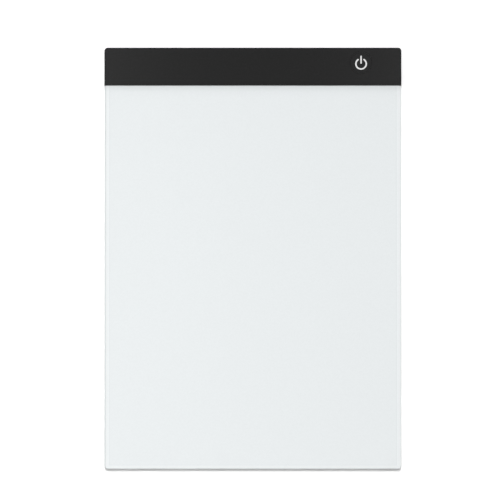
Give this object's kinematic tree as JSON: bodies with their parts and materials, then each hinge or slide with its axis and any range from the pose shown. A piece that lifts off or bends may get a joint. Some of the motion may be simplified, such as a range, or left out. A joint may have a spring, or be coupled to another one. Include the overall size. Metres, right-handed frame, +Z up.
{
  "type": "tracing light box",
  "caption": "Thin flat light pad for tracing: white edge-lit panel with taped rim, black control strip along one short end with a flush round power key.",
  "frame": {"origin": "on the table, under the middle of the pad's outline", "axes": "+Z up out of the drawing surface, +Y along the pad towards the black control strip, +X to the right with the strip at the far end"},
  "size_m": [0.235, 0.335, 0.0063],
  "materials": {
    "strip_black": "fine moulded grain, satin",
    "key_black": "fine moulded grain, satin",
    "symbol_white": "smooth inlay",
    "frosted_acrylic": "frosted, fine matt grain",
    "diffuser_white": "milky film",
    "clear_acrylic": "clear, polished",
    "reflector_white": "white film",
    "back_white": "fine grain",
    "tape_white": "smooth tape",
    "light_bar_white": "white solder mask",
    "diode_white": "smooth",
    "phosphor_yellow": "silicone window",
    "mounting_tape_grey": "double-sided tape",
    "board_green": "solder mask",
    "sheet_steel": "drawn sheet metal",
    "connector_black": "moulded",
    "contact_gold": "plated",
    "plunger_red": "moulded",
    "chip_black": "moulded epoxy",
    "ferrite_grey": "ferrite",
    "capacitor_tan": "ceramic body",
    "wire_red": "wire insulation",
    "wire_black": "wire insulation",
    "solder_tin": "solder",
    "screw_steel": "zinc plated",
    "foot_rubber": "matt"
  },
  "bodies": {
    "pad": {"control_cover": "strip_black", "control_base": "strip_black", "front_sheet": "frosted_acrylic", "diffuser_film": "diffuser_white", "light_guide": "clear_acrylic", "reflector_film": "reflector_white", "back_sheet": "back_white", "edge_tape": "tape_white", "led_bar": "light_bar_white", "led_bodies": "diode_white", "led_phosphor": "phosphor_yellow", "led_bar_tape": "mounting_tape_grey", "main_board": "board_green", "usb_shell": "sheet_steel", "switch_frame": "sheet_steel", "switch_dome": "sheet_steel", "usb_tongue": "connector_black", "switch_body": "connector_black", "usb_contacts": "contact_gold", "driver_chip": "chip_black", "chip_resistors": "chip_black", "power_coil": "ferrite_grey", "chip_capacitors": "capacitor_tan", "wire_positive": "wire_red", "wire_negative": "wire_black", "solder_joints": "solder_tin", "case_screws": "screw_steel", "front_feet": "foot_rubber", "rear_feet": "foot_rubber"},
    "key": {"power_key": "key_black", "power_symbol": "symbol_white", "switch_plunger": "plunger_red"}
  },
  "joints": [
    {"name": "power_key_press", "type": "slide", "parent": "pad", "child": "key", "axis": [0, 0, -1], "range_m": [0, 0.0003], "stiffness_N_per_m": 4000, "deforming": ["switch_dome"]}
  ]
}
